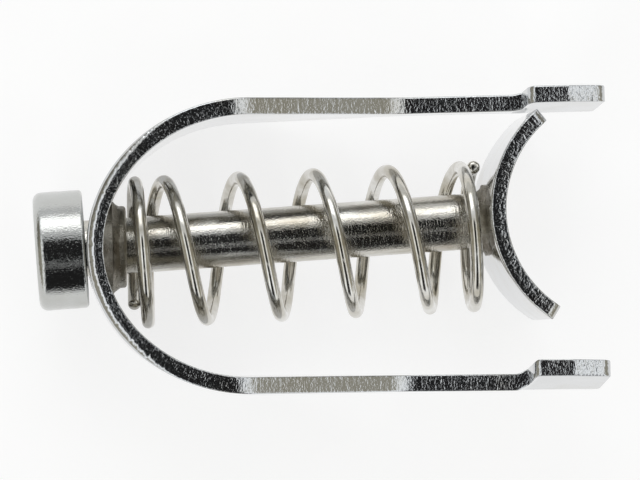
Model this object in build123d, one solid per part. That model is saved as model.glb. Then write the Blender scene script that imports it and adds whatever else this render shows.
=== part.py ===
from build123d import *
import math
import os

# Hitch pin lock: a bent strap yoke that carries a sprung plunger. The plunger's
# saddle is pushed against a round tube, and the hooks at the yoke's tips catch it.
# Millimetres. The origin is the centre of the saddle's arc, X runs along the
# plunger towards the open end, and Z is the direction of the strap's width.

# strap of the yoke
STRAP_THICKNESS = 3.6
STRAP_WIDTH = 33.0
BEND_LENGTH = 34.5
BEND_HALF_HEIGHT = 31.0
ARM_SPLAY = 0.6
ARM_LENGTH = 58.8
TAPER_START = -2.0
TAPER_END = 32.0
NECK_WIDTH = 8.0

# hook noses at the tips
NOSE_LENGTH = 16.7
NOSE_REACH = 10.0
NOSE_FLAT_LENGTH = 8.6
NOSE_DROP = 1.2
UPPER_NOSE_LEAN = 1.1
LOWER_NOSE_LEAN = 3.2
NOSE_CORNER_RADIUS = 1.8

# how the yoke sits to the plunger
LEAN_ANGLE = 3.1
PIVOT_X = -107.5
PIVOT_Y = -0.6
PIVOT_FROM_BEND_CENTRE = 29.9

# guide bush in the yoke's base
BUSH_RADIUS = 8.75
BUSH_START = 33.2
BUSH_END = 26.0
BUSH_OFFSET = 0.55
BORE_CLEARANCE = 0.08
BORE_START = -125.0
BORE_LENGTH = 60.0
BUSH_WELD_RADIUS = 9.9
BUSH_WELD_LENGTH = 3.6
BUSH_WELD_SLOPE = 1.2
BUSH_WELD_ROOT = 0.3

# plunger
PIN_RADIUS = 6.0
SPIGOT_RADIUS = 4.0
SPIGOT_LENGTH = 8.0
KNOB_RADIUS = 12.6
KNOB_LENGTH = 10.5
KNOB_BACK = -112.2
KNOB_FRONT_RADIUS = 1.8
KNOB_BACK_CHAMFER = 0.8

# saddle on the plunger's inner end
SADDLE_RADIUS = 24.0
SADDLE_THICKNESS = 3.3
SADDLE_WIDTH = 33.0
SADDLE_HALF_ANGLE = 54.8
SADDLE_CORNER_RADIUS = 2.0
SADDLE_WELD_RADIUS = 7.5
SADDLE_WELD_LENGTH = 2.4
SADDLE_WELD_TOE = 0.4
SADDLE_WELD_ROOT = 2.0

# compression spring
WIRE_RADIUS = 1.45
COIL_RADIUS = 14.85
SPRING_START = (-102.3, -1.6, 0.0)
SPRING_END = (-28.5, -3.3, 0.0)
START_TURNS = 1.15
START_RISE = 3.4
END_TURNS = 1.0
END_RISE = 3.1
ACTIVE_TURNS = 4.24
SPRING_START_ANGLE = -140.0

# how far a cutter reaches past the material, and the slack in comparing lengths
OVERCUT = 1.0
TOLERANCE = 0.01

SADDLE_OUTER_RADIUS = SADDLE_RADIUS + SADDLE_THICKNESS
YOKE_PLACE = (
    Location((PIVOT_X, PIVOT_Y, 0.0))
    * Rotation(0, 0, -LEAN_ANGLE)
    * Location((PIVOT_FROM_BEND_CENTRE, 0.0, 0.0))
)


def arm_height(x, inset):
    """Half height of the yoke at x on an arm, inset from the outer surface."""
    return BEND_HALF_HEIGHT - inset + x * math.tan(math.radians(ARM_SPLAY))


def u_face(inset):
    """Filled U shape of the yoke, inset from its outer surface, up to the shoulders."""
    end = arm_height(ARM_LENGTH, inset)
    half = BEND_HALF_HEIGHT - inset
    bend = EllipticalCenterArc((0, 0), BEND_LENGTH - inset, half, start_angle=90, arc_size=180)
    top = Line((0, half), (ARM_LENGTH, end))
    tip = Line((ARM_LENGTH, end), (ARM_LENGTH, -end))
    bottom = Line((ARM_LENGTH, -end), (0, -half))
    return make_face([bend, top, tip, bottom])


def nose_blank(side, lean_offset):
    """One hook nose before trimming: it leans towards +Y as it rises along Z."""
    tip = ARM_LENGTH + NOSE_LENGTH
    outline = Polyline(
        (ARM_LENGTH, arm_height(ARM_LENGTH, 0) * side),
        (tip, arm_height(tip, 0) * side),
        (tip, arm_height(tip, STRAP_THICKNESS) * side),
        (ARM_LENGTH, arm_height(ARM_LENGTH, STRAP_THICKNESS) * side),
        close=True,
    )
    face = Location((0, 0, -NECK_WIDTH / 2)) * make_face(outline)
    width = NECK_WIDTH + NOSE_REACH
    lean = Vector(0, lean_offset, width)
    return extrude(face, lean.length, dir=lean)


def side_face():
    """Outline of the strap seen along Y: full width, taper, neck, and hook nose."""
    wide = STRAP_WIDTH / 2
    neck = NECK_WIDTH / 2
    reach = neck + NOSE_REACH
    base = -BEND_LENGTH - OVERCUT
    tip = ARM_LENGTH + NOSE_LENGTH
    tip_back = (tip, -neck)
    tip_front = (tip, reach - NOSE_DROP)
    shoulder = (ARM_LENGTH, reach)
    points = [
        (base, -wide),
        (TAPER_START, -wide),
        (TAPER_END, -neck),
        tip_back,
        tip_front,
        (ARM_LENGTH + NOSE_FLAT_LENGTH, reach),
        shoulder,
        (ARM_LENGTH, neck),
        (TAPER_END, neck),
        (TAPER_START, wide),
        (base, wide),
    ]
    face = Plane.XZ * make_face(Polyline(*points, close=True))
    rounded = [corner_at(face, place) for place in (tip_back, tip_front, shoulder)]
    return fillet(rounded, NOSE_CORNER_RADIUS)


def corner_at(face, place):
    """The corner of a face in the XZ plane that is nearest to a place in it."""
    return min(face.vertices(), key=lambda v: math.dist((v.X, v.Z), place))


def bore():
    """The space that the plunger's pin slides in, a little over the pin's radius."""
    plane = Plane(origin=(BORE_START, 0, 0), z_dir=(1, 0, 0))
    return extrude(plane * Circle(PIN_RADIUS + BORE_CLEARANCE), BORE_LENGTH)


def bush_blank(radius, start, end):
    """A round bar along the yoke's axis, in the yoke's own frame."""
    plane = Plane(origin=(-start, BUSH_OFFSET, 0), z_dir=(1, 0, 0))
    return extrude(plane * Circle(radius), start - end)


def make_yoke():
    """Bent strap with a hole for the bush, tapered arms and a hook at each tip."""
    profile = u_face(0) - u_face(STRAP_THICKNESS)
    strap = extrude(profile, STRAP_WIDTH / 2, both=True)
    strap += nose_blank(1, UPPER_NOSE_LEAN) + nose_blank(-1, LOWER_NOSE_LEAN)
    window = extrude(side_face(), 2 * BEND_HALF_HEIGHT, both=True)
    body = strap & window
    body -= bush_blank(BUSH_RADIUS, BEND_LENGTH + OVERCUT, BUSH_END)
    return YOKE_PLACE * body


def make_bush():
    """Guide bush through the yoke's base, bored along the plunger's axis."""
    blank = bush_blank(BUSH_RADIUS, BUSH_START, BUSH_END)
    return YOKE_PLACE * blank - bore()


def make_bush_weld(yoke):
    """Weld bead round the bush, on the inner surface of the yoke's base."""
    base = STRAP_THICKNESS - BEND_LENGTH
    root = base - BUSH_WELD_ROOT
    end = base + BUSH_WELD_LENGTH
    section = Polyline(
        (root, BUSH_RADIUS),
        (root, BUSH_WELD_RADIUS),
        (end - BUSH_WELD_SLOPE, BUSH_WELD_RADIUS),
        (end, BUSH_RADIUS),
        close=True,
    )
    ring = revolve(make_face(section), Axis.X)
    return YOKE_PLACE * (Location((0, BUSH_OFFSET, 0)) * ring) - yoke


def saddle_cylinder():
    """A solid round bar of the saddle's outer radius, used to cope what meets it."""
    return extrude(Circle(SADDLE_OUTER_RADIUS), SADDLE_WIDTH, both=True)


def make_pin():
    """Round pin with a spigot for the knob and an end coped to the saddle."""
    shank_start = KNOB_BACK - KNOB_BACK_CHAMFER
    shank_plane = Plane(origin=(shank_start, 0, 0), z_dir=(1, 0, 0))
    shank = extrude(shank_plane * Circle(PIN_RADIUS), -shank_start - SADDLE_RADIUS)
    spigot_plane = Plane(origin=(shank_start, 0, 0), z_dir=(-1, 0, 0))
    spigot = extrude(spigot_plane * Circle(SPIGOT_RADIUS), SPIGOT_LENGTH)
    return shank + spigot - saddle_cylinder()


def make_knob(pin):
    """Thick round knob, rounded at the front, pressed and riveted on the spigot."""
    front = KNOB_BACK - KNOB_LENGTH
    plane = Plane(origin=(front, 0, 0), z_dir=(1, 0, 0))
    knob = extrude(plane * Circle(KNOB_RADIUS), KNOB_LENGTH)
    rims = knob.edges().sort_by(Axis.X)
    knob = fillet(rims[0], KNOB_FRONT_RADIUS)
    knob = chamfer(knob.edges().sort_by(Axis.X)[-1], KNOB_BACK_CHAMFER)
    return knob - pin


def make_saddle():
    """Plate bent to an arc that opens towards +X, with rounded corners."""
    start = 180 - SADDLE_HALF_ANGLE
    sweep = 2 * SADDLE_HALF_ANGLE
    outer = CenterArc((0, 0), SADDLE_OUTER_RADIUS, start, sweep)
    inner = CenterArc((0, 0), SADDLE_RADIUS, start, sweep)
    ends = [Line(outer @ 0, inner @ 0), Line(outer @ 1, inner @ 1)]
    plate = extrude(make_face([outer, inner, *ends]), SADDLE_WIDTH / 2, both=True)
    short = [e for e in plate.edges() if abs(e.length - SADDLE_THICKNESS) < TOLERANCE]
    return fillet(short, SADDLE_CORNER_RADIUS)


def make_saddle_weld():
    """Fillet weld between the pin and the saddle's convex face."""
    apex = -SADDLE_OUTER_RADIUS
    section = Polyline(
        (apex + SADDLE_WELD_ROOT, PIN_RADIUS),
        (apex + SADDLE_WELD_ROOT, SADDLE_WELD_RADIUS),
        (apex - SADDLE_WELD_TOE, SADDLE_WELD_RADIUS),
        (apex - SADDLE_WELD_LENGTH, PIN_RADIUS),
        close=True,
    )
    return revolve(make_face(section), Axis.X) - saddle_cylinder()


def coil(turns, rise, start_angle, start_height):
    """One helical stretch of wire round Z, from an angle and height."""
    path = Helix(pitch=rise / turns, height=rise, radius=COIL_RADIUS)
    plane = Plane(origin=path @ 0, z_dir=path % 0)
    wire = sweep(plane * Circle(WIRE_RADIUS), path=path, is_frenet=True)
    return Location((0, 0, start_height), (0, 0, start_angle)) * wire


def make_spring():
    """Right-handed spring with closed ends, from the yoke's base to the saddle."""
    start = Vector(*SPRING_START)
    end = Vector(*SPRING_END)
    length = (end - start).length
    active_rise = length - START_RISE - END_RISE
    stretches = [
        (START_TURNS, START_RISE),
        (ACTIVE_TURNS, active_rise),
        (END_TURNS, END_RISE),
    ]
    angle = SPRING_START_ANGLE
    height = 0.0
    wire = None
    for turns, rise in stretches:
        piece = coil(turns, rise, angle, height)
        if wire is None:
            wire = piece
        else:
            turn = math.radians(angle)
            joint = (COIL_RADIUS * math.cos(turn), COIL_RADIUS * math.sin(turn), height)
            wire = wire + Location(joint) * Sphere(WIRE_RADIUS) + piece
        angle += turns * 360
        height += rise
    return Plane(origin=start, x_dir=(0, 1, 0), z_dir=end - start).location * wire


def main():
    os.makedirs("parts", exist_ok=True)
    yoke = make_yoke()
    pin = make_pin()
    nodes = {
        "yoke": yoke,
        "guide_bush": make_bush(),
        "bush_weld": make_bush_weld(yoke),
        "spring": make_spring(),
        "pull_pin": pin,
        "pull_knob": make_knob(pin),
        "saddle": make_saddle(),
        "saddle_weld": make_saddle_weld(),
    }
    for name, shape in nodes.items():
        export_step(shape, f"parts/{name}.step")


main()
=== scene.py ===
import math

import bpy
import numpy as np
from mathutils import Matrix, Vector


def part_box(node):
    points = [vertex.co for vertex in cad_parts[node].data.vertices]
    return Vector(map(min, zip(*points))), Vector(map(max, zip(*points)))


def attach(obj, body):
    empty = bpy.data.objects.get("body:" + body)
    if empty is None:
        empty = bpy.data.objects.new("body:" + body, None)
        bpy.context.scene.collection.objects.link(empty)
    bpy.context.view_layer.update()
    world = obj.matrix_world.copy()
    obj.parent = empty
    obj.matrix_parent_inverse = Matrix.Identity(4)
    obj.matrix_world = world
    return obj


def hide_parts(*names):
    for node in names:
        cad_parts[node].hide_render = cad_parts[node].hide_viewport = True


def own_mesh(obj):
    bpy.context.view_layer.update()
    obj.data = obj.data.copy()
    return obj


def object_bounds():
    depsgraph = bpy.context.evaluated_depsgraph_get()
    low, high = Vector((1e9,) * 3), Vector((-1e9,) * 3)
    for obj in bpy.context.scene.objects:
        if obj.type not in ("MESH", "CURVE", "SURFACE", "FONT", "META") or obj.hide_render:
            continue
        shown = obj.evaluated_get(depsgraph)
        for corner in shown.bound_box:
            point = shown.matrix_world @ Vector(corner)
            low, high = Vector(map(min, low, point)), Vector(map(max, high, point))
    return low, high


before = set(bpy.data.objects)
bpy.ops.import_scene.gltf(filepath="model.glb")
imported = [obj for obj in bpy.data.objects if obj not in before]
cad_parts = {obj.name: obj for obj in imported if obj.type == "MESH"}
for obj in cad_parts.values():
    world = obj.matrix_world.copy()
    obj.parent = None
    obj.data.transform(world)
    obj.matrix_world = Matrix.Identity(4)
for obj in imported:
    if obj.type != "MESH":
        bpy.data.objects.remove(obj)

CAD_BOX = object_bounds()
MM = 0.001
FULL_TURN = 2 * math.pi

# The yoke, in millimetres, in its own frame: the bend's centre is the origin
THICKNESS = 3.6
STRAP_HALF_WIDTH = 16.5
BEND_LENGTH = 34.5
BEND_HALF_HEIGHT = 31.0
SPLAY = math.tan(math.radians(0.6))
TAPER_START = -2.0
TAPER_END = 32.0
TAPER_BLEND = 2.6
NECK_HALF_WIDTH = 4.0
SHOULDER = 58.8
TIP = 75.5
NOSE_TOP = 14.0
NOSE_FLAT_END = 67.4
NOSE_DROP = 1.2
UPPER_NOSE_LEAN = 1.1
LOWER_NOSE_LEAN = 3.2
NOSE_CORNER = 1.8
TIP_ROUNDING = 0.45

# The guide bush, in the yoke's frame
BUSH_RADIUS = 8.75
BUSH_OFFSET = 0.55
BUSH_START = -33.2
BUSH_END = -26.0
BUSH_BORE = 6.45

# The yoke's place round the plunger, whose axis is X
LEAN = math.radians(-3.1)
PIVOT = (-107.5, -0.6)
PIVOT_FROM_BEND_CENTRE = 29.9

# The plunger
PIN_RADIUS = 6.0
SPIGOT_RADIUS = 4.0
SPIGOT_LENGTH = 8.0
RIVET_ROUNDING = 0.6
KNOB_FRONT_ROUNDING = 1.8
KNOB_BACK_ROUNDING = 0.8
SADDLE_OUTER_RADIUS = 27.3
SADDLE_THICKNESS = 3.3
SADDLE_HALF_ANGLE = math.radians(54.8)
SADDLE_CORNER = 2.0
SADDLE_END_ROUNDING = 0.35

# The spring, whose closed ends are given as (turns, rise)
COIL_RADIUS = 14.85
WIRE_RADIUS = 1.42
WIRE_END_ROUNDING = 0.9
SPRING_START = np.array((-102.3, -1.6, 0.0))
SPRING_END = np.array((-28.5, -3.3, 0.0))
SPRING_TURNS = 6.389
START_CLOSED = (1.15, 3.4)
END_CLOSED = (1.0, 3.1)
PITCH_BLEND = 0.09
SPRING_FIRST_ANGLE = math.radians(-140)

# How deep the faults of a plate go, and how its edges are rolled
STRIATION_DEPTH = 0.014
GRAIN_DEPTH = 0.008
TORN_DEPTH = 0.032
STRETCH_DEPTH = 0.1
WAVE_DEPTH = 0.03
INNER_ROLL = 0.28
OUTER_ROLL = 0.4
BEND_EXTRA_ROLL = 1.1
PLATE_STEP = 0.3

# Turned profiles: the gap between an arc and the straight after it, and the axis
PROFILE_GAP = 0.1
NEAR_AXIS = 0.02

FLOOR_Z = float(CAD_BOX[0][2])
FLOOR_HALF_SIZE = 3.0

# Metal colours as (clean, stained); the bush's and the welds' pairs are darkened partly with
# painted shade
CHROME = ((0.60, 0.61, 0.62), (0.48, 0.46, 0.41))
KNOB_CHROME = ((0.56, 0.57, 0.56), (0.48, 0.48, 0.46))
BAR = ((0.70, 0.69, 0.65), (0.38, 0.35, 0.29))
SPRING_STEEL = ((0.76, 0.75, 0.72), (0.46, 0.43, 0.36))
# The bush's dark brown is partly its own dull tone and partly painted shade, standing in for the
# shadowed surroundings that it reflects
BUSH_METAL_AND_PAINTED_SHADE = ((0.50, 0.48, 0.42), (0.22, 0.20, 0.16))
# The welds' dark brown is partly weld scale and partly painted shade, standing in for reflected
# shadow
BEAD_METAL_AND_PAINTED_SHADE = ((0.42, 0.40, 0.35), (0.17, 0.15, 0.12))

# Heights of the metals' fine relief, in metres
STRAP_RELIEF = 0.00008
PIN_RELIEF = 0.0001
KNOB_RELIEF = 0.00007
WIRE_RELIEF = 0.00001
WELD_RELIEF = 0.0005


# ---------- noise and curves ----------

def hashed(cell, seed):
    """A fixed pseudo-random value from -1 to 1 for each lattice cell."""
    mixed = cell[:, 0] * 73856093 ^ cell[:, 1] * 19349663 ^ cell[:, 2] * 83492791 ^ seed * 40503
    mixed = (mixed ^ (mixed >> 13)) * 1274126177
    mixed = mixed ^ (mixed >> 16)
    return (mixed & 0xFFFF) / 32767.5 - 1.0


def smooth_noise(points, seed):
    """Smooth noise from -1 to 1 at each row of points, one cell per unit."""
    cell = np.floor(points).astype(np.int64)
    part = points - cell
    part = part * part * (3 - 2 * part)
    total = np.zeros(len(points))
    for corner in np.ndindex(2, 2, 2):
        weight = np.prod(np.where(corner, part, 1 - part), axis=1)
        total += weight * hashed(cell + np.array(corner), seed)
    return total


def noise_at(seed, u, v, w):
    """Smooth noise at points given as three arrays of one shape."""
    points = np.stack([u.ravel(), v.ravel(), w.ravel()], 1)
    return smooth_noise(points, seed).reshape(u.shape)


def step_up(value, low, high):
    """Smooth step from 0 at low to 1 at high."""
    share = np.clip((value - low) / (high - low), 0.0, 1.0)
    return share * share * (3 - 2 * share)


def round_in(distance, radius):
    """How far a rounded corner draws in at a distance from its end."""
    left = np.clip(radius - distance, 0.0, radius)
    return radius - np.sqrt(radius * radius - left * left)


def running_length(points):
    """Distance along a line of points up to each of them."""
    steps = np.hypot(*np.diff(points, axis=0).T)
    return np.concatenate([[0], np.cumsum(steps)])


def unit(vectors):
    """Vectors scaled to length 1, along the last axis."""
    return vectors / np.linalg.norm(vectors, axis=-1, keepdims=True)


# ---------- meshes ----------

def mesh_object(name, points, faces, uvs=None, sharp=38):
    """A smooth-shaded mesh object from points in millimetres."""
    mesh = bpy.data.meshes.new(name)
    mesh.from_pydata((np.asarray(points) * MM).tolist(), [], faces)
    mesh.validate()
    if uvs is not None:
        layer = mesh.uv_layers.new(name="surface")
        indices = np.empty(len(mesh.loops), dtype=np.int32)
        mesh.loops.foreach_get("vertex_index", indices)
        layer.data.foreach_set("uv", np.asarray(uvs)[indices].astype(np.float32).ravel())
    mesh.polygons.foreach_set("use_smooth", [True] * len(mesh.polygons))
    mesh.set_sharp_from_angle(angle=math.radians(sharp))
    mesh.update()
    thing = bpy.data.objects.new(name, mesh)
    bpy.context.collection.objects.link(thing)
    return thing


def skin(rings, points_per_ring):
    """Faces that join rings of points into a tube, with flat end caps."""
    faces = []
    for ring in range(rings - 1):
        here = ring * points_per_ring
        following = here + points_per_ring
        for k in range(points_per_ring):
            after = (k + 1) % points_per_ring
            faces.append((here + k, here + after, following + after, following + k))
    faces.append(tuple(reversed(range(points_per_ring))))
    last = (rings - 1) * points_per_ring
    faces.append(tuple(range(last, last + points_per_ring)))
    return faces


def section_template(broad=16, edge=14, corner=5):
    """Points round a rectangle with rounded corners, as rows of (n, z, n arc, z arc).

    n and z place a point between the centres of the corners' arcs, from -1 to 1.
    The arc parts are the direction from there to the surface. broad, edge and
    corner are the numbers of points along a broad face, an edge and a corner.
    """
    points = []
    for k in range(broad):
        points.append((1, -1 + 2 * k / broad, 1, 0))
    quarter = [math.pi / 2 * k / corner for k in range(corner)]
    points += [(1, 1, math.cos(a), math.sin(a)) for a in quarter]
    for k in range(edge):
        points.append((1 - 2 * k / edge, 1, 0, 1))
    points += [(-1, 1, -math.sin(a), math.cos(a)) for a in quarter]
    for k in range(broad):
        points.append((-1, 1 - 2 * k / broad, -1, 0))
    points += [(-1, -1, -math.cos(a), -math.sin(a)) for a in quarter]
    for k in range(edge):
        points.append((-1 + 2 * k / edge, -1, 0, -1))
    points += [(1, -1, math.sin(a), -math.cos(a)) for a in quarter]
    return np.array(points)


def sheared_depth(along, n, side, bent, seed):
    """How far the faults of a sheared edge cut in, at a distance n outwards.

    Striations cross the thickness, grain is deeper towards the inner face where
    the metal tore, and stretch marks open on the outer side where it is bent.
    """
    striae = noise_at(seed, along * 2.1, n * 0.45, side * 7)
    grain = noise_at(seed + 1, along * 3.3, n * 3.1, side * 5)
    torn = step_up(-n, -0.6, 1.4)
    stretched = step_up(n, 0.1, 1.5) * bent[:, None]
    depth = STRIATION_DEPTH * (striae + 1)
    depth = depth + (GRAIN_DEPTH + TORN_DEPTH * torn) * (grain + 1)
    return depth + STRETCH_DEPTH * stretched * (striae + 1) ** 2


def plate(name, thickness, path, outward, along, limits, inset, outer_roll, bent, seed, place=None):
    """A strap swept along a path in XY, with sheared edges facing up and down.

    path and outward hold one row per station: a point of the outer surface and
    the direction out of it. limits are the strap's z limits at the stations,
    inset is how far its end is rounded in, outer_roll is the radius of its outer
    corners, and bent is how hard it is bent there.
    """
    n_flat, z_flat, n_arc, z_arc = section_template().T
    count = len(n_flat)
    low, high = limits
    middle = ((low + high) / 2)[:, None]
    half = (thickness / 2 - inset)[:, None]
    tall = ((high - low) / 2 - inset)[:, None]
    roll = outer_roll[:, None]
    radius = np.minimum(np.where(n_flat > 0, roll, INNER_ROLL), half * 0.9)
    outer_limit = half - roll
    inner_limit = INNER_ROLL - half
    n = inner_limit + (outer_limit - inner_limit) * (n_flat + 1) / 2 + radius * n_arc
    z = z_flat * (tall - radius) + radius * z_arc
    side = np.sign(z)
    station = np.repeat(along[:, None], count, axis=1)
    z = z - side * z_arc ** 2 * sheared_depth(station, n, side, bent, seed)
    wave = noise_at(seed + 2, station * 0.16, z * 0.16, side * 0)
    n = n - WAVE_DEPTH * (wave + 1) * np.sign(n)
    offset = n - thickness / 2
    x = path[:, :1] + outward[:, :1] * offset
    y = path[:, 1:] + outward[:, 1:] * offset
    points = np.stack([x, y, z + middle], 2).reshape(-1, 3)
    if place is not None:
        points = place(points)
    around = running_length(np.stack([n[0], z[0]], 1))
    uvs = np.stack([station.ravel(), np.tile(around, len(along))], 1)
    return mesh_object(name, points, skin(len(along), count), uvs)


def lathe(name, profile, segments=160, rough=0.0, lumps=0.0, seed=5, shift=0.0, place=None):
    """A closed profile of (x, radius) turned round X, with small surface faults.

    rough and lumps are the depths of the fine and broad faults, and shift is the
    axis's distance from X along Y.
    """
    profile = np.array(profile)
    angle = np.linspace(0, FULL_TURN, segments + 1)[:-1]
    x = np.tile(profile[:, 0], (segments, 1))
    radius = np.tile(profile[:, 1], (segments, 1))
    turned = np.tile(angle[:, None], (1, len(profile)))
    across = 4 * np.cos(turned)
    up = 4 * np.sin(turned)
    fine = noise_at(seed, x * 2.4, across * 2.4, up * 2.4)
    broad = noise_at(seed + 1, x * 0.6, across * 0.75, up * 0.75)
    off_axis = radius > 0.5
    radius = radius - off_axis * (rough * (fine + 1) + lumps * (broad + 1))
    points = np.stack([x, shift + radius * np.cos(turned), radius * np.sin(turned)], 2)
    points = points.reshape(-1, 3)
    if place is not None:
        points = place(points)
    length = running_length(profile)
    widest = profile[:, 1].max()
    uvs = np.stack([np.tile(length, segments), np.repeat(angle * widest, len(profile))], 1)
    return mesh_object(name, points, ring_faces(segments, len(profile)), uvs)


def ring_faces(segments, count):
    """Faces of a closed ring made of closed profiles of count points."""
    faces = []
    for k in range(segments):
        here = k * count
        following = (k + 1) % segments * count
        for i in range(count):
            j = (i + 1) % count
            faces.append((here + i, following + i, following + j, here + j))
    return faces


def arc(centre, radius, start, end, steps=8):
    """Points of an arc in (x, radius) space, angles in degrees."""
    turn = np.radians(np.linspace(start, end, steps))
    return [(centre[0] + radius * math.cos(a), centre[1] + radius * math.sin(a)) for a in turn]


def line(start, end, steps):
    """Evenly spaced points from start up to, but not at, end."""
    dx = end[0] - start[0]
    dy = end[1] - start[1]
    return [(start[0] + dx * k / steps, start[1] + dy * k / steps) for k in range(steps)]


# ---------- the yoke's body ----------

def yoke_place(points):
    """Leans the noses, then moves points from the yoke's own frame to the part's."""
    moved = points.copy()
    rise = np.clip((points[:, 2] + NECK_HALF_WIDTH) / (NOSE_TOP + NECK_HALF_WIDTH), 0, 1)
    lean = np.where(points[:, 1] > 0, UPPER_NOSE_LEAN, LOWER_NOSE_LEAN)
    moved[:, 1] += lean * rise * step_up(points[:, 0], SHOULDER - 2.5, SHOULDER + 1.2)
    dx = moved[:, 0] + PIVOT_FROM_BEND_CENTRE
    dy = moved[:, 1].copy()
    moved[:, 0] = PIVOT[0] + dx * math.cos(LEAN) - dy * math.sin(LEAN)
    moved[:, 1] = PIVOT[1] + dx * math.sin(LEAN) + dy * math.cos(LEAN)
    return moved


def arm_stations():
    """Distances along an arm from the bend to the tip, closer at the nose's corners."""
    arm = np.arange(PLATE_STEP, SHOULDER - 0.05, PLATE_STEP)
    nose = np.arange(SHOULDER + NOSE_CORNER + 0.1, TIP - NOSE_CORNER, PLATE_STEP)
    start = SHOULDER + NOSE_CORNER * (1 - np.cos(np.linspace(0, math.pi / 2, 9)))
    end = TIP - NOSE_CORNER * (1 - np.cos(np.linspace(math.pi / 2, 0, 13)))
    return np.concatenate([arm, [SHOULDER - 0.04], start, nose, end])


def yoke_limits(x):
    """The strap's lower and upper edge at each station."""
    nearby = x[:, None] + np.linspace(-TAPER_BLEND, TAPER_BLEND, 15)
    share = np.clip((nearby - TAPER_START) / (TAPER_END - TAPER_START), 0, 1).mean(axis=1)
    wide = STRAP_HALF_WIDTH + (NECK_HALF_WIDTH - STRAP_HALF_WIDTH) * share
    drop = NOSE_DROP * np.clip((x - NOSE_FLAT_END) / (TIP - NOSE_FLAT_END), 0, 1)
    nose = NOSE_TOP - drop
    nose = nose - round_in(x - SHOULDER, NOSE_CORNER) - round_in(TIP - x, NOSE_CORNER)
    high = np.where(x >= SHOULDER, nose, wide)
    low = -wide + round_in(TIP - x, NOSE_CORNER)
    return low, high


def yoke_path():
    """The yoke's outer surface in XY from the lower tip to the upper, and its normals."""
    arm = arm_stations()
    turn = np.radians(np.linspace(270, 90, 331))
    height = BEND_HALF_HEIGHT + arm * SPLAY
    lower = np.stack([arm, -height], 1)[::-1]
    upper = np.stack([arm, height], 1)
    bend = np.stack([BEND_LENGTH * np.cos(turn), BEND_HALF_HEIGHT * np.sin(turn)], 1)
    normal = unit(np.stack([np.cos(turn) / BEND_LENGTH, np.sin(turn) / BEND_HALF_HEIGHT], 1))
    flat = np.tile([-SPLAY, 1.0], (len(arm), 1))
    return np.concatenate([lower, bend, upper]), np.concatenate([flat * [1, -1], normal, flat])


def make_yoke():
    """The bent strap with its noses, and the hole for the bush."""
    path, outward = yoke_path()
    along = running_length(path)
    limits = yoke_limits(path[:, 0])
    inset = round_in(TIP - path[:, 0], TIP_ROUNDING)
    bent = step_up(-path[:, 0], 15, 29)
    roll = OUTER_ROLL + BEND_EXTRA_ROLL * bent
    yoke = plate(
        "yoke_strap", THICKNESS, path, outward, along, limits, inset, roll, bent, 11, yoke_place
    )
    bore_hole(yoke)
    return yoke


def bore_hole(yoke):
    """Cuts the bush's hole through the yoke's base."""
    angle = np.linspace(0, FULL_TURN, 97)[:-1]
    across = BUSH_OFFSET + BUSH_RADIUS * np.cos(angle)
    ring = np.stack([0 * angle, across, BUSH_RADIUS * np.sin(angle)], 1)
    ends = [ring + [-BEND_LENGTH - 4, 0, 0], ring + [-BEND_LENGTH + 12, 0, 0]]
    points = yoke_place(np.concatenate(ends))
    cutter = mesh_object("bore_cutter", points, skin(2, len(angle)))
    cut = yoke.modifiers.new("bore", "BOOLEAN")
    cut.operation = "DIFFERENCE"
    cut.object = cutter
    cut.solver = "EXACT"
    apply_modifiers(yoke)
    bpy.data.objects.remove(cutter, do_unlink=True)


def apply_modifiers(thing):
    """Makes what the modifiers show the object's own mesh."""
    bpy.context.view_layer.update()
    shown = thing.evaluated_get(bpy.context.evaluated_depsgraph_get())
    mesh = bpy.data.meshes.new_from_object(shown)
    thing.modifiers.clear()
    thing.data = mesh


def make_bush():
    """The turned bush, with rounded rims and a bore that the leaning pin clears."""
    rounding = 0.5
    end_rounding = 0.7
    bore_rounding = 0.4
    rim = BUSH_RADIUS - rounding
    bore_lip = BUSH_BORE + bore_rounding
    profile = line((BUSH_START, BUSH_BORE), (BUSH_START, rim), 4)
    profile += arc((BUSH_START + rounding, rim), rounding, 180, 90, 5)
    start = (BUSH_START + rounding + PROFILE_GAP, BUSH_RADIUS)
    profile += line(start, (BUSH_END - end_rounding, BUSH_RADIUS), 20)
    centre = (BUSH_END - end_rounding, BUSH_RADIUS - end_rounding)
    profile += arc(centre, end_rounding, 90, 0, 6)
    profile += line((BUSH_END, rim - 0.2), (BUSH_END - PROFILE_GAP, bore_lip), 6)
    profile += arc((BUSH_END - 0.5, bore_lip), bore_rounding, 0, -90, 4)
    profile += line((BUSH_END - 0.6, BUSH_BORE), (BUSH_START, BUSH_BORE), 6)
    return lathe(
        "guide_bush_turned", profile, 180, rough=0.03, lumps=0.05, seed=61,
        shift=BUSH_OFFSET, place=yoke_place,
    )


def weld_ring(name, root, toe, inner, outer, skirt, seed, shift=0.0, place=None):
    """A weld bead: a hollow fillet from outer radius at root to inner at toe.

    skirt is how far the bead runs back into the metal behind its root.
    """
    size = toe - root
    turn = np.radians(np.linspace(0, 90, 13))
    face = [
        (root + size * (1 - math.cos(a)) ** 0.9, outer - (outer - inner) * math.sin(a) ** 1.2)
        for a in turn
    ]
    buried = root - math.copysign(skirt, size)
    core = inner - 0.25
    profile = [(buried, core), (buried, outer)] + face + [(toe + 0.02, core)]
    return lathe(name, profile, 240, rough=0.07, lumps=0.16, seed=seed, shift=shift, place=place)


def make_bush_weld():
    """The bead between the bush and the inner face of the yoke's base."""
    return weld_ring(
        "bush_weld_bead", -29.0, -26.5, BUSH_RADIUS, 10.6, 2.4, 71, BUSH_OFFSET, yoke_place
    )


# ---------- the spring ----------

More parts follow.
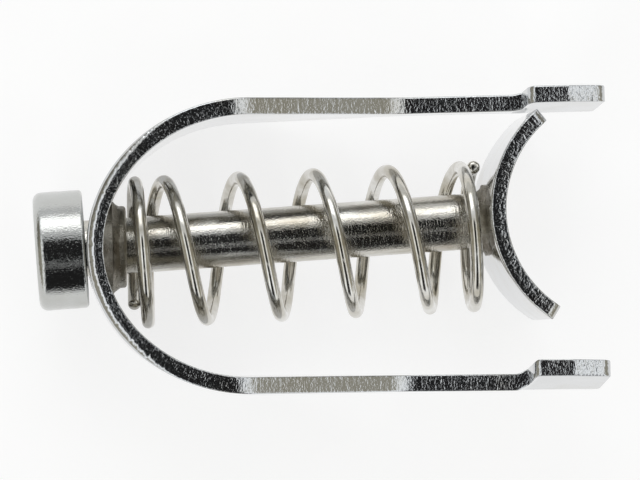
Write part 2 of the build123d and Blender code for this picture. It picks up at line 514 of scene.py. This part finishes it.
def spring_rise(turns):
    """How far the wire has risen after each number of turns, with closed ends."""
    length = float(np.linalg.norm(SPRING_END - SPRING_START))
    active = SPRING_TURNS - START_CLOSED[0] - END_CLOSED[0]
    open_from = START_CLOSED[0]
    open_to = START_CLOSED[0] + active
    slope = (length - START_CLOSED[1] - END_CLOSED[1]) / active
    first = START_CLOSED[1] / START_CLOSED[0]
    last = END_CLOSED[1] / END_CLOSED[0]
    opening = step_up(turns, open_from - PITCH_BLEND, open_from + PITCH_BLEND)
    shutting = step_up(turns, open_to - PITCH_BLEND, open_to + PITCH_BLEND)
    pitch = first + (slope - first) * opening + (last - slope) * shutting
    steps = np.diff(turns) * (pitch[1:] + pitch[:-1]) / 2
    return np.concatenate([[0], np.cumsum(steps)])


def spring_stations():
    """Numbers of turns along the wire, closer together at its rounded ends."""
    end_turns = np.linspace(0, 0.01, 8)
    even = np.linspace(0, SPRING_TURNS, int(SPRING_TURNS * 96))[2:-2]
    return np.concatenate([end_turns, even, SPRING_TURNS - end_turns[::-1]])


def make_spring():
    """A round wire swept along the coil, with rounded ends and faint dents."""
    turns = spring_stations()
    axis = unit(SPRING_END - SPRING_START)
    across = unit(np.cross([0.0, 0.0, 1.0], axis))
    depth = np.cross(axis, across)
    angle = SPRING_FIRST_ANGLE + turns * FULL_TURN
    radial = np.cos(angle)[:, None] * across + np.sin(angle)[:, None] * depth
    centre = SPRING_START + spring_rise(turns)[:, None] * axis + COIL_RADIUS * radial
    other = np.cross(unit(np.gradient(centre, axis=0)), radial)
    length = turns * FULL_TURN * COIL_RADIUS
    from_end = np.minimum(turns, SPRING_TURNS - turns) * FULL_TURN * COIL_RADIUS
    dents = 0.012 * (noise_at(91, turns * 40, turns * 0, turns * 0) - 1)
    radius = (WIRE_RADIUS - round_in(from_end, WIRE_END_ROUNDING) + dents)[:, None]
    around = 28
    turned = np.linspace(0, FULL_TURN, around + 1)[:-1]
    rings = centre[:, None, :] + (radius * np.cos(turned))[:, :, None] * radial[:, None, :]
    rings = rings + (radius * np.sin(turned))[:, :, None] * other[:, None, :]
    uvs = np.stack([np.repeat(length, around), np.tile(turned * WIRE_RADIUS, len(turns))], 1)
    return mesh_object("spring_wire", rings.reshape(-1, 3), skin(len(turns), around), uvs)


# ---------- the plunger ----------

def make_saddle():
    """The plate bent to an arc that opens towards the tube."""
    reach = SADDLE_OUTER_RADIUS * SADDLE_HALF_ANGLE
    inner = np.arange(-reach + SADDLE_CORNER, reach - SADDLE_CORNER, PLATE_STEP)
    corner = SADDLE_CORNER * (1 - np.cos(np.linspace(math.pi / 2, 0, 13)))
    along = np.concatenate([-reach + corner[::-1], inner[1:], reach - corner])
    turn = math.pi - along / SADDLE_OUTER_RADIUS
    outward = np.stack([np.cos(turn), np.sin(turn)], 1)
    path = outward * SADDLE_OUTER_RADIUS
    end = reach - np.abs(along)
    high = STRAP_HALF_WIDTH - round_in(end, SADDLE_CORNER)
    inset = round_in(end, SADDLE_END_ROUNDING)
    roll = np.full(len(along), OUTER_ROLL)
    limits = (-high, high)
    return plate(
        "saddle_plate", SADDLE_THICKNESS, path, outward, along, limits, inset, roll, roll * 0.4, 31
    )


def make_saddle_weld():
    """The bead between the pin and the saddle's convex face."""
    return weld_ring("saddle_weld_bead", -26.9, -29.7, PIN_RADIUS, 7.9, 0.9, 81)


def make_knob():
    """The turned knob, rounded at both rims, with a recess at the back."""
    low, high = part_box("pull_knob")
    front = low[0] / MM
    back = high[0] / MM
    radius = high[2] / MM
    recess = 5.9
    front_arc = (front + KNOB_FRONT_ROUNDING, radius - KNOB_FRONT_ROUNDING)
    back_arc = (back - KNOB_BACK_ROUNDING, radius - KNOB_BACK_ROUNDING)
    rim_start = front_arc[0] + PROFILE_GAP
    rim_end = back_arc[0] - PROFILE_GAP
    profile = line((front + 0.06, SPIGOT_RADIUS), (front, front_arc[1] - PROFILE_GAP), 6)
    profile += arc(front_arc, KNOB_FRONT_ROUNDING, 180, 90)
    profile += line((rim_start, radius), (rim_end, radius), 30)
    profile += arc(back_arc, KNOB_BACK_ROUNDING, 90, 0, 6)
    profile += line((back, back_arc[1] - PROFILE_GAP), (back, recess), 4)
    profile += [(back, recess), (back_arc[0], recess), (back_arc[0], SPIGOT_RADIUS)]
    return lathe("pull_knob_turned", profile, 200, rough=0.012, lumps=0.02, seed=41)


def make_pin():
    """The pin with its riveted spigot, from the knob's front to inside the saddle."""
    low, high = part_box("pull_pin")
    spigot_end = low[0] / MM
    radius = high[2] / MM
    face = spigot_end - RIVET_ROUNDING
    shank = spigot_end + SPIGOT_LENGTH
    end = -SADDLE_OUTER_RADIUS + 0.75
    profile = [(face, NEAR_AXIS), (face, 2.9)]
    rivet_arc = (spigot_end, SPIGOT_RADIUS - RIVET_ROUNDING)
    profile += arc(rivet_arc, RIVET_ROUNDING, 180, 90, 5)
    profile += [(shank - 0.01, SPIGOT_RADIUS), (shank, radius - 0.3), (shank + 0.3, radius)]
    profile += line((shank + 0.6, radius), (end, radius), 260)
    profile += [(end, radius), (end + 0.05, NEAR_AXIS)]
    return lathe("pull_pin_bar", profile, 120, rough=0.008, lumps=0.012, seed=51)


# ---------- node graphs ----------

class Graph:
    """Short calls for adding nodes to a tree."""

    def __init__(self, tree):
        self.tree = tree

    def add(self, kind):
        return self.tree.nodes.new(kind)

    def link(self, source, target):
        self.tree.links.new(source, target)

    def put(self, value, socket):
        """Gives a socket a number or a colour, or links another node's output to it."""
        if isinstance(value, tuple):
            socket.default_value = (*value, 1)
        elif isinstance(value, (int, float)):
            socket.default_value = value
        else:
            self.link(value, socket)

    def math(self, operation, first, second=0.0):
        node = self.add("ShaderNodeMath")
        node.operation = operation
        self.put(first, node.inputs[0])
        self.put(second, node.inputs[1])
        return node.outputs[0]

    def sum_of(self, *parts):
        """Sum of (weight, value) pairs."""
        terms = [self.math("MULTIPLY", value, weight) for weight, value in parts]
        total = terms[0]
        for term in terms[1:]:
            total = self.math("ADD", total, term)
        return total

    def spread(self, value, low, high, new_low, new_high, smooth=False):
        """Maps low..high of value to new_low..new_high, clamped."""
        node = self.add("ShaderNodeMapRange")
        if smooth:
            node.interpolation_type = "SMOOTHSTEP"
        self.link(value, node.inputs["Value"])
        node.inputs["From Min"].default_value = low
        node.inputs["From Max"].default_value = high
        node.inputs["To Min"].default_value = new_low
        node.inputs["To Max"].default_value = new_high
        return node.outputs["Result"]

    def band(self, value, low, high, soft):
        """1 between low and high, falling to 0 over soft on each side of a limit."""
        start = self.spread(value, low - soft, low + soft, 0.0, 1.0, smooth=True)
        end = self.spread(value, high - soft, high + soft, 1.0, 0.0, smooth=True)
        return self.math("MULTIPLY", start, end)

    def mix(self, share, first, second):
        """Mixes two colours by share."""
        node = self.add("ShaderNodeMix")
        node.data_type = "RGBA"
        self.link(share, node.inputs["Factor"])
        self.put(first, node.inputs["A"])
        self.put(second, node.inputs["B"])
        return node.outputs["Result"]


class Surface(Graph):
    """A material's node tree, with the coordinates that its noises use."""

    def __init__(self, name):
        self.material = bpy.data.materials.new(name)
        self.material.use_nodes = True
        super().__init__(self.material.node_tree)
        self.shader = self.tree.nodes["Principled BSDF"]
        coordinates = self.add("ShaderNodeTexCoord")
        self.uv = coordinates.outputs["UV"]
        self.object = coordinates.outputs["Object"]

    def noise(self, vector, scale, detail=3.0, roughness=0.55):
        """Noise of the vector stretched by scale along each axis, from 0 to 1."""
        mapping = self.add("ShaderNodeMapping")
        mapping.inputs["Scale"].default_value = scale
        texture = self.add("ShaderNodeTexNoise")
        texture.inputs["Scale"].default_value = 1.0
        texture.inputs["Detail"].default_value = detail
        texture.inputs["Roughness"].default_value = roughness
        self.link(vector, mapping.inputs["Vector"])
        self.link(mapping.outputs["Vector"], texture.inputs["Vector"])
        return texture.outputs["Fac"]

    def stained(self, noise, low, high, most, colours):
        """Clean metal that turns to its stain, up to a share, as noise goes low to high."""
        return self.mix(self.spread(noise, low, high, 0.0, most), *colours)

    def edge_mask(self):
        """1 on surfaces that face along Z, which are the sheared edges of a strap."""
        geometry = self.add("ShaderNodeNewGeometry")
        split = self.add("ShaderNodeSeparateXYZ")
        self.link(geometry.outputs["True Normal"], split.inputs[0])
        facing = self.math("ABSOLUTE", split.outputs["Z"])
        return self.spread(facing, 0.55, 0.8, 0.0, 1.0)

    def finish(self, colour, rough, height, depth):
        """Joins colour, roughness and relief to a fully metallic shader."""
        bump = self.add("ShaderNodeBump")
        bump.inputs["Strength"].default_value = 1.0
        bump.inputs["Distance"].default_value = depth
        self.link(height, bump.inputs["Height"])
        self.link(bump.outputs["Normal"], self.shader.inputs["Normal"])
        self.link(colour, self.shader.inputs["Base Color"])
        self.link(rough, self.shader.inputs["Roughness"])
        self.shader.inputs["Metallic"].default_value = 1.0
        return self.material


# ---------- materials ----------

def strap_material():
    """Bright plating: mirror faces, and sheared edges with striations and torn grain."""
    metal = Surface("bright_plated_strap")
    mask = metal.edge_mask()
    striae = metal.noise(metal.uv, (1.7, 0.45, 1.0), 2.0, 0.6)
    grain = metal.noise(metal.uv, (2.5, 2.3, 1.0), 2.0, 0.6)
    ripple = metal.noise(metal.uv, (0.35, 0.35, 1.0), 2.0)
    sheared = metal.math("MULTIPLY", mask, metal.sum_of((0.5, striae), (0.75, grain)))
    height = metal.sum_of((1.0, sheared), (0.12, ripple))
    tarnish = metal.noise(metal.object, (90.0, 90.0, 90.0), 5.0, 0.6)
    colour = metal.stained(tarnish, 0.48, 0.72, 0.6, CHROME)
    worn = metal.spread(metal.noise(metal.uv, (1.3, 1.1, 1.0), 5.0), 0.35, 0.7, 0.03, 0.09)
    rough = metal.sum_of((1.0, worn), (0.02, mask))
    return metal.finish(colour, rough, height, STRAP_RELIEF)


def pin_material():
    """Drawn bar under thin plating: warm grey, fine rings and pits."""
    metal = Surface("plated_drawn_bar")
    rings = metal.noise(metal.uv, (1.8, 0.2, 1.0), 2.0, 0.6)
    pits = metal.noise(metal.uv, (2.4, 2.6, 1.0), 2.0, 0.6)
    height = metal.sum_of((0.45, rings), (0.55, pits))
    stain = metal.noise(metal.object, (55.0, 130.0, 130.0), 5.0, 0.6)
    colour = metal.stained(stain, 0.36, 0.66, 1.0, BAR)
    rough = metal.spread(metal.noise(metal.uv, (0.6, 0.9, 1.0), 5.0), 0.3, 0.7, 0.06, 0.13)
    return metal.finish(colour, rough, height, PIN_RELIEF)


def knob_material():
    """Bright plating over a bead-blasted and turned knob."""
    metal = Surface("plated_knob")
    grain = metal.noise(metal.uv, (2.4, 2.4, 1.0), 2.0, 0.6)
    turned = metal.noise(metal.uv, (2.2, 0.1, 1.0), 3.0, 0.6)
    height = metal.sum_of((0.8, grain), (0.2, turned))
    shade = metal.noise(metal.object, (80.0, 80.0, 80.0), 4.0, 0.55)
    colour = metal.stained(shade, 0.35, 0.7, 1.0, KNOB_CHROME)
    rough = metal.spread(metal.noise(metal.uv, (0.8, 0.8, 1.0), 5.0), 0.3, 0.7, 0.05, 0.1)
    return metal.finish(colour, rough, height, KNOB_RELIEF)


def spring_material():
    """Polished spring wire with drawing lines along it and a warm tarnish."""
    metal = Surface("polished_spring_wire")
    lines = metal.noise(metal.uv, (0.12, 3.5, 1.0), 4.0, 0.6)
    specks = metal.noise(metal.uv, (2.2, 2.2, 1.0), 3.0, 0.6)
    height = metal.sum_of((0.6, lines), (0.3, specks))
    tarnish = metal.noise(metal.object, (70.0, 120.0, 120.0), 5.0, 0.6)
    colour = metal.stained(tarnish, 0.35, 0.65, 1.0, SPRING_STEEL)
    rough = metal.spread(metal.noise(metal.uv, (0.25, 1.2, 1.0), 4.0), 0.3, 0.7, 0.06, 0.2)
    return metal.finish(colour, rough, height, WIRE_RELIEF)


def weld_material(name, colours):
    """Dull plated weld metal with scale, pits and spatter; the colours given to it are darkened
    partly with painted shade.
    """
    metal = Surface(name)
    pits = metal.noise(metal.object, (900.0, 900.0, 900.0), 5.0, 0.7)
    lumps = metal.noise(metal.object, (260.0, 260.0, 260.0), 3.0, 0.6)
    height = metal.sum_of((0.4, pits), (0.8, lumps))
    stain = metal.noise(metal.object, (160.0, 160.0, 160.0), 5.0, 0.65)
    colour = metal.stained(stain, 0.34, 0.64, 1.0, colours)
    rough = metal.spread(pits, 0.3, 0.7, 0.22, 0.45)
    return metal.finish(colour, rough, height, WELD_RELIEF)


# ---------- scene ----------

def add(piece, body, nodes, material):
    """Puts a finished piece on its body, in place of its CAD nodes."""
    piece.data.materials.clear()
    piece.data.materials.append(material)
    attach(piece, body)
    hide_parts(*nodes)
    return piece


def build_object():
    """Makes every piece, puts each on its body, and gives the spring a mesh of its own."""
    strap = strap_material()
    # The bush's metal is darkened partly with painted shade
    bush_metal_and_painted_shade = weld_material("bush_metal_and_painted_shade", BUSH_METAL_AND_PAINTED_SHADE)
    # The welds' metal is darkened partly with painted shade
    bead_metal_and_painted_shade = weld_material("weld_metal_and_painted_shade", BEAD_METAL_AND_PAINTED_SHADE)
    add(make_yoke(), "yoke_body", ["yoke"], strap)
    add(make_bush(), "yoke_body", ["guide_bush"], bush_metal_and_painted_shade)
    add(make_bush_weld(), "yoke_body", ["bush_weld"], bead_metal_and_painted_shade)
    add(make_pin(), "plunger", ["pull_pin"], pin_material())
    add(make_knob(), "plunger", ["pull_knob"], knob_material())
    add(make_saddle(), "plunger", ["saddle"], strap)
    add(make_saddle_weld(), "plunger", ["saddle_weld"], bead_metal_and_painted_shade)
    spring = add(make_spring(), "yoke_body", ["spring"], spring_material())
    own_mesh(spring)


def make_floor():
    """A pale floor that the lock lies on, lit mostly from itself so that shadows are faint."""
    surface = Surface("pale_floor")
    speckle = surface.noise(surface.object, (40.0, 40.0, 40.0), 2.0)
    colour = surface.mix(speckle, (0.28, 0.28, 0.28), (0.32, 0.32, 0.32))
    surface.link(colour, surface.shader.inputs["Base Color"])
    surface.shader.inputs["Roughness"].default_value = 0.9
    surface.shader.inputs["Specular IOR Level"].default_value = 0.1
    surface.shader.inputs["Emission Color"].default_value = (1.0, 1.0, 1.0, 1.0)
    surface.shader.inputs["Emission Strength"].default_value = 0.78
    size = FLOOR_HALF_SIZE
    corners = [(-size, -size), (size, -size), (size, size), (-size, size)]
    mesh = bpy.data.meshes.new("floor")
    mesh.from_pydata([(x, y, FLOOR_Z) for x, y in corners], [], [(0, 1, 2, 3)])
    floor = bpy.data.objects.new("floor", mesh)
    mesh.materials.append(surface.material)
    bpy.context.collection.objects.link(floor)


def make_world():
    """A white tent with a dark opening overhead that runs down on one side.

    tilt is the angle from straight up towards -Y, and sideways is the angle out of
    the YZ plane towards +X.
    """
    world = bpy.data.worlds.new("tent")
    bpy.context.scene.world = world
    world.use_nodes = True
    graph = Graph(world.node_tree)
    coordinates = graph.add("ShaderNodeTexCoord")
    split = graph.add("ShaderNodeSeparateXYZ")
    graph.link(coordinates.outputs["Generated"], split.inputs[0])
    x, y, z = split.outputs
    tilt = graph.math("ARCTAN2", graph.math("MULTIPLY", y, -1.0), z)
    sideways = graph.math("ARCSINE", x)
    along_opening = graph.band(tilt, -0.40, 1.55, 0.05)
    across_opening = graph.band(sideways, -0.27, 0.30, 0.06)
    opening = graph.math("MULTIPLY", along_opening, across_opening)
    strip = graph.math("MULTIPLY", graph.band(tilt, 0.47, 0.53, 0.02), 0.55)
    dark = graph.math("MULTIPLY", opening, graph.math("SUBTRACT", 1.0, strip))
    light = graph.math("SUBTRACT", 1.0, graph.math("MULTIPLY", dark, 0.985))
    shade = graph.math("MULTIPLY", graph.band(tilt, -1.7, -0.42, 0.05), 0.38)
    light = graph.math("MULTIPLY", light, graph.math("SUBTRACT", 1.0, shade))
    room = graph.band(graph.math("ABSOLUTE", sideways), 0.62, 1.45, 0.08)
    walls = graph.mix(room, (0.97, 0.99, 1.0), (0.30, 0.285, 0.235))
    background = graph.tree.nodes["Background"]
    graph.link(graph.mix(light, (0.0, 0.0, 0.0), walls), background.inputs["Color"])
    background.inputs["Strength"].default_value = 1.25


def make_light():
    """One large soft light over the far side."""
    data = bpy.data.lights.new("softbox", "AREA")
    data.shape = "RECTANGLE"
    data.size = 0.7
    data.size_y = 0.4
    data.energy = 1.4
    light = bpy.data.objects.new("softbox", data)
    place = Vector((-0.1, 0.75, 0.55))
    light.location = place
    light.rotation_euler = (Vector((-0.06, 0, 0)) - place).to_track_quat("-Z", "Y").to_euler()
    bpy.context.collection.objects.link(light)


def make_camera():
    """Looks down on the lock from almost straight above, turned a little."""
    eye = Vector((-115.5, -19.4, 704.0)) * MM
    target = Vector((-62.3, -1.7, 0.0)) * MM
    roll = math.radians(4.07)
    data = bpy.data.cameras.new("camera")
    data.sensor_width = 36.0
    data.lens = 186.2
    data.clip_start = 0.01
    camera = bpy.data.objects.new("camera", data)
    forward = (target - eye).normalized()
    right = Vector((1, 0, 0))
    right = (right - forward * right.dot(forward)).normalized()
    up = right.cross(forward)
    matrix = camera.matrix_world.to_3x3()
    matrix.col[0] = right * math.cos(roll) - up * math.sin(roll)
    matrix.col[1] = right * math.sin(roll) + up * math.cos(roll)
    matrix.col[2] = -forward
    camera.matrix_world = matrix.to_4x4()
    camera.location = eye
    bpy.context.collection.objects.link(camera)
    bpy.context.scene.camera = camera


build_object()
make_floor()
make_world()
make_light()
make_camera()
bpy.context.scene.view_settings.view_transform = "Standard"
